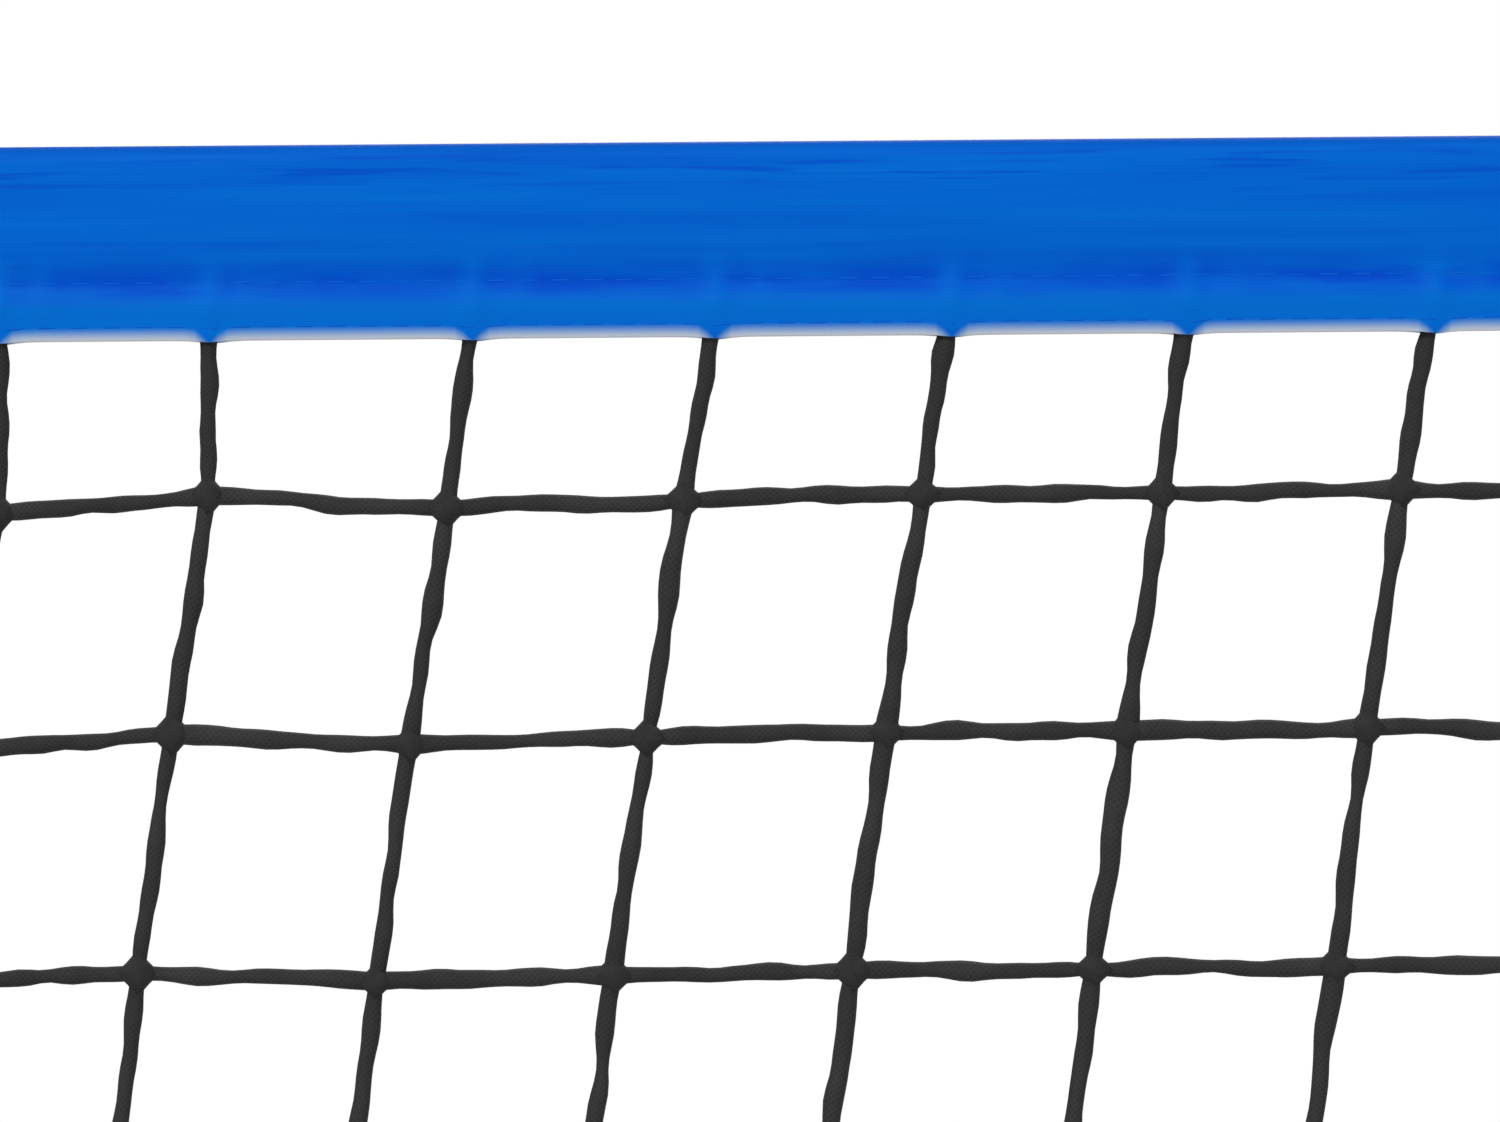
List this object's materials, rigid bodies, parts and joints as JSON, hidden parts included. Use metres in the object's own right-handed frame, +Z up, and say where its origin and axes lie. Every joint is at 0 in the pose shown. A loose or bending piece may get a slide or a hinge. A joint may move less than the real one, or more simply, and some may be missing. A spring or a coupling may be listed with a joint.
{
  "type": "tennis net",
  "caption": "Low tennis net: dark knotted netting bound in blue folded tapes, hung on a coated wire headline with an eye at each end, with side dowels, grommets and a weighted bottom tape.",
  "frame": {"origin": "on the headline cable's axis, half way along the net", "axes": "+X along the net towards the right post, +Y to the far side, +Z up"},
  "size_m": [3.171, 0.0122, 0.7837],
  "materials": {
    "blue_tape": "satin",
    "black_twine": "matte",
    "cable_coat": "satin",
    "ferrule_metal": "satin",
    "thimble_metal": "satin",
    "grommet_brass": "satin",
    "dowel_fibreglass": "satin",
    "cap_vinyl": "matte",
    "weight_cord": "matte"
  },
  "bodies": {
    "headline": {"headline_cable": "cable_coat", "left_ferrule": "ferrule_metal", "right_ferrule": "ferrule_metal", "left_thimble": "thimble_metal", "right_thimble": "thimble_metal"},
    "net": {"netting": "black_twine", "headband": "blue_tape", "bottom_tape": "blue_tape", "bottom_cord": "weight_cord", "left_side_tape": "blue_tape", "right_side_tape": "blue_tape", "left_upper_eyelet": "grommet_brass", "left_upper_washer": "grommet_brass", "left_middle_eyelet": "grommet_brass", "left_middle_washer": "grommet_brass", "left_lower_eyelet": "grommet_brass", "left_lower_washer": "grommet_brass", "right_upper_eyelet": "grommet_brass", "right_upper_washer": "grommet_brass", "right_middle_eyelet": "grommet_brass", "right_middle_washer": "grommet_brass", "right_lower_eyelet": "grommet_brass", "right_lower_washer": "grommet_brass"},
    "left_dowel": {"left_dowel": "dowel_fibreglass", "left_dowel_top_cap": "cap_vinyl", "left_dowel_bottom_cap": "cap_vinyl"},
    "right_dowel": {"right_dowel": "dowel_fibreglass", "right_dowel_top_cap": "cap_vinyl", "right_dowel_bottom_cap": "cap_vinyl"}
  },
  "joints": [
    {"name": "net_swing", "type": "hinge", "parent": "headline", "child": "net", "pos_m": [0, 0, 0], "axis": [1, 0, 0], "range_deg": [-90, 90]},
    {"name": "left_dowel_slide", "type": "slide", "parent": "net", "child": "left_dowel", "axis": [0, 0, -1], "range_m": [0, 0.7]},
    {"name": "right_dowel_slide", "type": "slide", "parent": "net", "child": "right_dowel", "axis": [0, 0, -1], "range_m": [0, 0.7]}
  ]
}
